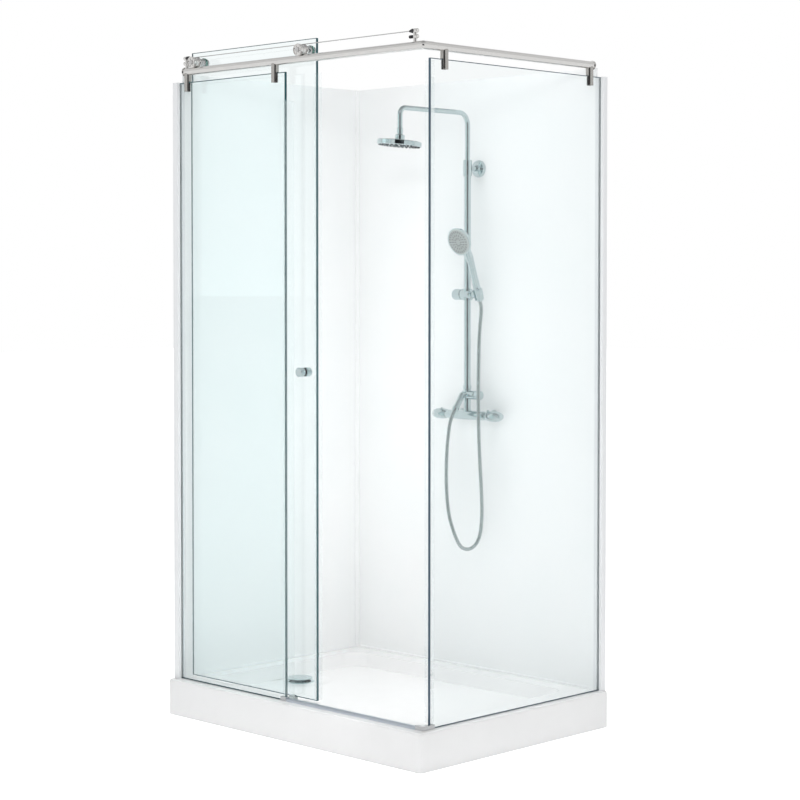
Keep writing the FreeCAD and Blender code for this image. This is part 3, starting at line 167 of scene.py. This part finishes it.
finishes = {
    "trayAcrylic": {
        "colour": (0.765, 0.765, 0.765), "roughness": 0.22, "sockets": {"Coat Weight": 0.3},
        "grain": (9.0, 0.0004, 0.10), "tint": ((0.76, 0.76, 0.76), (0.775, 0.775, 0.775)),
        "pieces": ["shower_tray"],
    },
    "wallPanel": {
        "colour": (0.93, 0.94, 0.94), "roughness": 0.3,
        "grain": (5.0, 0.0004, 0.08), "tint": ((0.92, 0.935, 0.935), (0.94, 0.945, 0.945)),
        "pieces": ["back_wall_panel", "left_wall_panel"],
    },
    "trimWhite": {
        "colour": (0.93, 0.94, 0.94), "roughness": 0.35, "grain": (180.0, 0.0001, 0.08),
        "pieces": ["corner_profile", "wall_base_trims"],
    },
    "whiteAluminium": {
        "colour": (0.80, 0.81, 0.82), "roughness": 0.35, "grain": (180.0, 0.0001, 0.15),
        "pieces": ["wall_end_profiles"],
    },
    "tealEdge": {
        "colour": tealTone, "roughness": 0.3, "sockets": {"Specular IOR Level": 0.3},
        "grain": (60.0, 0.0001, 0.05), "tint": ((0.014, 0.06, 0.07), (0.024, 0.09, 0.105)),
    },
    "steelEdge": {
        "colour": (0.06, 0.10, 0.14), "roughness": 0.3, "sockets": {"Specular IOR Level": 0.3},
        "grain": (60.0, 0.0001, 0.05), "tint": ((0.05, 0.085, 0.12), (0.075, 0.115, 0.155)),
    },
    "sealClear": {
        "colour": (0.60, 0.74, 0.76), "roughness": 0.15, "sockets": {"Alpha": 0.07},
        "grain": (90.0, 0.0001, 0.1),
        "pieces": ["glazing_seals", "fixed_edge_seal", "strike_seal", "door_edge_seal"],
    },
    "brushedSteel": {
        "colour": (0.84, 0.83, 0.815), "roughness": 0.17, "metallic": 1.0,
        "grain": (420.0, 0.00005, 0.25, (0.05, 1.0, 1.0)), "tint": ((0.80, 0.79, 0.775), (0.88, 0.87, 0.855)),
        "pieces": [
            "front_rail", "side_rail", "rail_corner", "rail_end_caps", "stop_posts", "thumb_nuts",
            "roller_wheel_left", "roller_wheel_right",
        ],
    },
    "hangerSteel": {
        "colour": (0.50, 0.49, 0.47), "roughness": 0.22, "metallic": 1.0,
        "grain": (300.0, 0.00005, 0.2), "tint": ((0.46, 0.45, 0.43), (0.54, 0.53, 0.51)),
        "pieces": ["front_hangers", "side_hangers"],
    },
    "footSteel": {
        "colour": (0.60, 0.61, 0.62), "roughness": 0.22, "metallic": 1.0, "grain": (300.0, 0.00005, 0.2),
        "pieces": ["corner_foot", "fixed_glass_foot"],
    },
    "brightSteel": {
        "colour": (0.62, 0.62, 0.62), "roughness": 0.12, "metallic": 1.0, "grain": (200.0, 0.00003, 0.1),
        "pieces": ["roller_studs", "roller_cap_nuts", "set_screws", "lift_guard_wire"],
    },
    "chrome": {
        "colour": (0.62, 0.715, 0.73), "roughness": 0.04, "metallic": 1.0,
        "grain": (40.0, 0.00003, 0.06), "tint": ((0.60, 0.695, 0.71), (0.64, 0.735, 0.75)),
        "pieces": [
            "waste_flange", "drain_cap", "mixer_body", "wall_unions", "temperature_handle", "flow_handle",
            "diverter_body", "diverter_knob", "hose_nut", "lower_riser", "upper_arm", "riser_bracket",
            "slider_body", "slider_knob", "handset_cradle", "handset_body", "rain_head_ball", "rain_head",
            "door_knobs",
        ],
    },
    "blackRubber": {
        "colour": (0.025, 0.025, 0.028), "roughness": 0.55, "grain": (300.0, 0.0002, 0.2),
        "pieces": ["stop_bumpers", "wire_cones", "hanger_liners", "knob_gaskets"],
    },
    "greenGasket": {
        "colour": (0.25, 0.42, 0.38), "roughness": 0.2, "sockets": {"Transmission Weight": 0.4},
        "grain": (120.0, 0.0002, 0.1),
        "pieces": ["roller_gaskets"],
    },
    "anodised": {
        "colour": (0.56, 0.61, 0.67), "roughness": 0.28, "metallic": 1.0,
        "grain": (300.0, 0.00005, 0.2, (0.05, 1.0, 1.0)),
        "pieces": ["threshold_strip"],
    },
    "guidePlastic": {
        "colour": (0.58, 0.63, 0.63), "roughness": 0.3, "grain": (250.0, 0.0002, 0.15),
        "pieces": ["door_guide"],
    },
    "sprayPlate": {
        "colour": (0.50, 0.54, 0.53), "roughness": 0.3, "grain": (150.0, 0.0002, 0.1),
        "pieces": ["handset_face"],
    },
    "sprayRubber": {
        "colour": (0.03, 0.035, 0.04), "roughness": 0.5, "grain": (250.0, 0.0002, 0.15),
    },
    "galvanised": {
        "colour": (0.45, 0.47, 0.49), "roughness": 0.45, "metallic": 0.8,
        "grain": (60.0, 0.0001, 0.2), "tint": ((0.38, 0.40, 0.42), (0.52, 0.54, 0.56)),
        "pieces": ["tray_frame", "levelling_feet"],
    },
    "wastePlastic": {
        "colour": (0.35, 0.36, 0.37), "roughness": 0.5, "grain": (120.0, 0.0002, 0.15),
        "pieces": ["waste_trap"],
    },
    "hoseMetal": {
        "colour": (0.46, 0.52, 0.52), "roughness": 0.15, "metallic": 1.0,
        "grain": (90.0, 0.00005, 0.1), "tint": ((0.42, 0.48, 0.48), (0.50, 0.56, 0.56)),
        "pieces": ["shower_hose"],
    },
}

materials = {}
for name, finish in finishes.items():
    material = makeMaterial(name, finish["colour"], finish["roughness"], finish.get("metallic", 0.0))
    for socket, value in finish.get("sockets", {}).items():
        shaderOf(material).inputs[socket].default_value = value
    noise = addGrain(material, *finish["grain"])
    if "tint" in finish:
        addTint(material, noise, *finish["tint"])
    materials[name] = material
    for piece in finish.get("pieces", []):
        dress(piece, material)
print("materials are made")

# across is the axis through the pane's thickness, arrisShadeWide the width of its dark outline of painted
# edge shade over the ground arris
panes = {
    "fixed_glass": {
        "name": "fixedGlass", "tint": (0.925, 0.973, 0.975), "across": 1,
        "rim": tealTone, "arrisShadeWide": 0.0022, "edge": "tealEdge",
    },
    "door_glass": {
        "name": "doorGlass", "tint": (0.925, 0.973, 0.975), "across": 1,
        "rim": (0.05, 0.11, 0.13), "arrisShadeWide": 0.0016, "edge": "tealEdge",
    },
    "side_glass": {
        "name": "sideGlass", "tint": (0.940, 0.970, 0.974), "across": 0,
        "rim": (0.05, 0.09, 0.12), "arrisShadeWide": 0.0020, "edge": "steelEdge",
    },
}

for piece, pane in panes.items():
    dress(piece, makeGlass(piece, pane))
    mesh = nodes[piece].data
    mesh.materials.append(materials[pane["edge"]])
    for face in mesh.polygons:
        face.material_index = 0 if abs(face.normal[pane["across"]]) > 0.9 else 1

nozzles = {
    "downNormal": -0.1,
    "flatNormal": 0.999,
    "standsOut": 0.0003,
}

for name in ("handset_face", "rain_head"):
    # the nozzles stand out from the piece's flat face on the side where the water leaves
    plate = nodes[name].data
    plate.materials.append(materials["sprayRubber"])
    flats = {}
    for face in plate.polygons:
        key = tuple(round(value, 2) for value in face.normal)
        flats[key] = flats.get(key, 0.0) + face.area
    out = Vector(max((key for key in flats if key[2] < nozzles["downNormal"]), key=flats.get)).normalized()
    reach = {}
    for face in plate.polygons:
        if face.normal.dot(out) > nozzles["flatNormal"]:
            level = round(face.center.dot(out), 4)
            reach[level] = reach.get(level, 0.0) + face.area
    level = max(reach, key=reach.get)
    for face in plate.polygons:
        if face.center.dot(out) > level + nozzles["standsOut"]:
            face.material_index = 1
print("finishes are on the pieces")


hose = {
    "diameter": 0.0125,
    "ribPitch": 0.0032,
    "ribDepth": 0.07,
    "sides": 18,
    "splineOrder": 3,
    "splineSteps": 24,
    "ribWave": (0.0, 0.5, 1.0, 0.5),
    "blendStart": (0.03, 0.3, 1.04),
    "blendEnd": (0.03, 0.3, 1.40),
    "routePoints": [
        (0.030, 0.3041, 1.0321), (0.030, 0.2863, 1.0080),
        (0.031, 0.274, 0.962), (0.032, 0.264, 0.895), (0.034, 0.259, 0.815), (0.038, 0.258, 0.738),
        (0.047, 0.259, 0.676), (0.062, 0.261, 0.632), (0.074, 0.269, 0.593), (0.076, 0.290, 0.564),
        (0.078, 0.323, 0.553), (0.081, 0.356, 0.564), (0.083, 0.377, 0.593), (0.087, 0.382, 0.635),
        (0.094, 0.377, 0.692), (0.102, 0.364, 0.762), (0.109, 0.350, 0.840), (0.113, 0.340, 0.921),
        (0.114, 0.336, 1.003), (0.110, 0.339, 1.078), (0.104, 0.346, 1.148), (0.098, 0.354, 1.209),
        (0.091, 0.363, 1.258), (0.084, 0.373, 1.298), (0.080, 0.381, 1.331), (0.079, 0.386, 1.361),
        (0.082, 0.3861, 1.3898), (0.082, 0.3780, 1.4124),
    ],
}


def routeLine(points):
    curve = bpy.data.curves.new("hoseRoute", "CURVE")
    curve.dimensions = "3D"
    spline = curve.splines.new("NURBS")
    spline.points.add(len(points) - 1)
    for point, place in zip(spline.points, points):
        point.co = (*place, 1.0)
    spline.order_u = hose["splineOrder"]
    spline.use_endpoint_u = True
    spline.resolution_u = hose["splineSteps"]
    holder = bpy.data.objects.new("hoseRoute", curve)
    line = bpy.data.meshes.new_from_object(holder)
    places = [vertex.co.copy() for vertex in line.vertices]
    bpy.data.objects.remove(holder)
    bpy.data.meshes.remove(line)
    return places


def evenSteps(places, step):
    # points at even steps along the line, with the line's length
    total = sum((b - a).length for a, b in zip(places, places[1:]))
    count = round(total / step)
    step = total / count
    even = [places[0]]
    index, walked = 0, 0.0
    for number in range(1, count):
        target = number * step
        while walked + (places[index + 1] - places[index]).length < target:
            walked += (places[index + 1] - places[index]).length
            index += 1
        run = places[index + 1] - places[index]
        even.append(places[index] + run * ((target - walked) / run.length))
    even.append(places[-1])
    return even, total


def makeHose():
    places = routeLine(hose["routePoints"])
    stepsPerRib = len(hose["ribWave"])
    even, total = evenSteps(places, hose["ribPitch"] / stepsPerRib)
    mesh = bmesh.new()
    across = Vector((1, 0, 0))
    rings = []
    for number, place in enumerate(even):
        before = even[max(number - 1, 0)]
        after = even[min(number + 1, len(even) - 1)]
        along = (after - before).normalized()
        across = (across - along * across.dot(along)).normalized()
        other = along.cross(across)
        wave = hose["ribWave"][number % stepsPerRib]
        radius = hose["diameter"] / 2 * (1 - hose["ribDepth"] * wave)
        turn = Matrix((across, other, along)).transposed().to_4x4()
        turn.translation = place
        made = bmesh.ops.create_circle(mesh, segments=hose["sides"], radius=radius, matrix=turn)
        rings.append(made["verts"])
    for lower, upper in zip(rings, rings[1:]):
        count = len(lower)
        for number in range(count):
            after = (number + 1) % count
            mesh.faces.new((lower[number], lower[after], upper[after], upper[number]))
    mesh.faces.new(list(reversed(rings[0])))
    mesh.faces.new(rings[-1])
    for face in mesh.faces:
        face.smooth = True
    bmesh.ops.recalc_face_normals(mesh, faces=mesh.faces)
    data = bpy.data.meshes.new("hose")
    mesh.to_mesh(data)
    mesh.free()
    piece = bpy.data.objects.new("hose", data)
    bpy.context.scene.collection.objects.link(piece)
    data.materials.append(materials["hoseMetal"])
    route = [tuple(place) for place in even[::stepsPerRib]]
    route.append(tuple(even[-1]))
    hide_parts("shower_hose")
    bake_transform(piece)
    print("hose length", round(total, 4))


makeHose()


camera = {
    "place": (4.73663, -4.73434, 1.4809),
    "yaw": 44.588,
    "pitch": 1.8008,
    "roll": 0.0223,
    "lens": 89.806,
    "sensor": 36.0,
    "shift": -0.07,
}


def makeCamera():
    data = bpy.data.cameras.new("camera")
    data.sensor_width = camera["sensor"]
    data.lens = camera["lens"]
    data.shift_y = camera["shift"]
    holder = bpy.data.objects.new("camera", data)
    yaw = math.radians(camera["yaw"])
    pitch = math.radians(camera["pitch"])
    ahead = Vector((-math.sin(yaw) * math.cos(pitch), math.cos(yaw) * math.cos(pitch), -math.sin(pitch)))
    turn = ahead.to_track_quat("-Z", "Y").to_matrix() @ Matrix.Rotation(math.radians(camera["roll"]), 3, "Z")
    holder.matrix_world = Matrix.Translation(camera["place"]) @ turn.to_4x4()
    bpy.context.scene.collection.objects.link(holder)
    bpy.context.scene.camera = holder


lamps = {
    "key": {
        "place": (3.8, -4.3, 2.9), "target": (0.0, 0.0, 1.1), "size": (0.45, 0.45),
        "strength": 41.0, "spread": math.pi,
    },
    "fill": {
        "place": (-4.0, -4.4, 2.6), "target": (0.0, 0.0, 1.1), "size": (2.5, 2.5),
        "strength": 8.0, "spread": math.pi,
    },
    "top": {
        "place": (0.3, -0.3, 5.0), "target": (0.0, 0.0, 1.1), "size": (3.0, 3.0),
        "strength": 46.0, "spread": math.pi,
    },
    "inside": {
        "place": (0.42, -0.38, 0.75), "target": (-0.58, 0.42, 0.62), "size": (0.5, 1.2),
        "strength": 0.85, "spread": 2.2,
    },
    "basin": {
        "place": (0.10, -0.05, 3.0), "target": (0.06, 0.0, 0.0), "size": (0.9, 0.7),
        "strength": 4.2, "spread": 0.95,
    },
}


def makeArea(name, place, target, size, strength, spread):
    data = bpy.data.lights.new(name, "AREA")
    data.shape = "RECTANGLE"
    data.size, data.size_y = size
    data.energy = strength
    data.spread = spread
    holder = bpy.data.objects.new(name, data)
    holder.visible_camera = False
    holder.visible_glossy = False
    ahead = Vector(target) - Vector(place)
    holder.matrix_world = Matrix.Translation(place) @ ahead.to_track_quat("-Z", "Y").to_matrix().to_4x4()
    bpy.context.scene.collection.objects.link(holder)


studio = {
    "mirrorStrength": 0.80,
    "roomStrength": 0.515,
    "roomColour": (0.98, 0.99, 1.0),
    "skyBelow": (0.85, 0.85, 0.86),
    "skyAbove": (0.40, 0.40, 0.41),
    "skyTones": ((0.48, 1.0), (0.56, 1.0), (0.68, 0.72), (0.78, 0.85), (0.90, 0.50)),
    "white": (1.0, 1.0, 1.0),
    "floorReach": 30.0,
    "floorColour": (0.93, 0.93, 0.93),
    "floorRoughness": 0.9,
    "floorGlow": 0.60,
    "flagPlace": (4.35, -4.30, 0.0),
    "flagWide": 5.4,
    "flagTall": 4.0,
    "flagColour": (0.01, 0.01, 0.012),
    "flagRoughness": 1.0,
}


def makeWorld():
    world = bpy.data.worlds.new("studio")
    world.use_nodes = True
    tree = world.node_tree
    tree.nodes.remove(tree.nodes["Background"])

    def add(kind, **settings):
        node = tree.nodes.new(kind)
        for name, value in settings.items():
            setattr(node, name, value)
        return node

    def addSky(colour, strength):
        sky = add("ShaderNodeBackground")
        sky.inputs["Color"].default_value = (*colour, 1.0)
        sky.inputs["Strength"].default_value = strength
        return sky

    def choose(depth, below, above):
        # the second sky once the path has such a bounce behind it
        more = add("ShaderNodeMath", operation="GREATER_THAN")
        more.inputs[1].default_value = 0.5
        mix = add("ShaderNodeMixShader")
        tree.links.new(path.outputs[depth], more.inputs[0])
        tree.links.new(more.outputs["Value"], mix.inputs["Fac"])
        tree.links.new(below.outputs[0], mix.inputs[1])
        tree.links.new(above.outputs[0], mix.inputs[2])
        return mix

    path = add("ShaderNodeLightPath")
    where = add("ShaderNodeTexCoord")
    split = add("ShaderNodeSeparateXYZ")
    tree.links.new(where.outputs["Generated"], split.inputs["Vector"])
    height = add("ShaderNodeMapRange")
    height.inputs["From Min"].default_value = -1.0
    tree.links.new(split.outputs["Z"], height.inputs["Value"])
    ramp = add("ShaderNodeValToRGB")
    ramp.color_ramp.interpolation = "EASE"
    ramp.color_ramp.elements[0].color = (*studio["skyBelow"], 1.0)
    ramp.color_ramp.elements[1].color = (*studio["skyAbove"], 1.0)
    for place, tone in studio["skyTones"]:
        ramp.color_ramp.elements.new(place).color = (tone, tone, tone, 1.0)
    tree.links.new(height.outputs["Result"], ramp.inputs["Fac"])
    mirrored = addSky(studio["white"], studio["mirrorStrength"])
    tree.links.new(ramp.outputs["Color"], mirrored.inputs["Color"])
    seen = addSky(studio["white"], 1.0)
    around = addSky(studio["roomColour"], studio["roomStrength"])
    shown = choose("Diffuse Depth", choose("Glossy Depth", seen, mirrored), around)
    tree.links.new(shown.outputs[0], tree.nodes["World Output"].inputs["Surface"])
    bpy.context.scene.world = world


def makeCard(name, material, turn):
    mesh = bmesh.new()
    bmesh.ops.create_grid(mesh, x_segments=1, y_segments=1, size=1.0, matrix=turn)
    data = bpy.data.meshes.new(name)
    mesh.to_mesh(data)
    mesh.free()
    data.materials.append(material)
    card = bpy.data.objects.new(name, data)
    bpy.context.scene.collection.objects.link(card)
    return card


def makeFlag():
    # a black card that only the shine of the metal meets
    black = makeMaterial("flagBlack", studio["flagColour"], studio["flagRoughness"])
    clear = addNode(black, "ShaderNodeBsdfTransparent", (0, -300))
    changeInShine(black, clear.outputs["BSDF"], shaderOf(black).outputs["BSDF"])
    place = Vector(studio["flagPlace"])
    away = place.normalized()
    wide = Vector((-away.y, away.x, 0.0)) * (studio["flagWide"] / 2)
    tall = Vector((0.0, 0.0, studio["flagTall"] / 2))
    turn = Matrix((wide, tall, away)).transposed().to_4x4()
    turn.translation = place + tall
    flag = makeCard("flag", black, turn)
    flag.visible_camera = False
    flag.visible_diffuse = False
    flag.visible_shadow = False
    flag.visible_volume_scatter = False
    return flag


def makeFloor():
    # in the shine of metal and glass the floor is as bright as the sky above it
    white = makeMaterial("floorWhite", studio["floorColour"], studio["floorRoughness"])
    shader = shaderOf(white)
    shader.inputs["Emission Color"].default_value = (*studio["white"], 1.0)
    shader.inputs["Emission Strength"].default_value = studio["floorGlow"]
    even = addNode(white, "ShaderNodeEmission", (0, -300))
    even.inputs["Strength"].default_value = studio["mirrorStrength"]
    changeInShine(white, shader.outputs["BSDF"], even.outputs["Emission"])
    return makeCard("floor", white, Matrix.Scale(studio["floorReach"], 4))


def makeStudio():
    makeFloor()
    makeFlag()
    makeWorld()
    for name, lamp in lamps.items():
        makeArea(name, **lamp)
    bpy.context.scene.view_settings.view_transform = "Standard"


makeCamera()
makeStudio()
print("camera and lights are set")
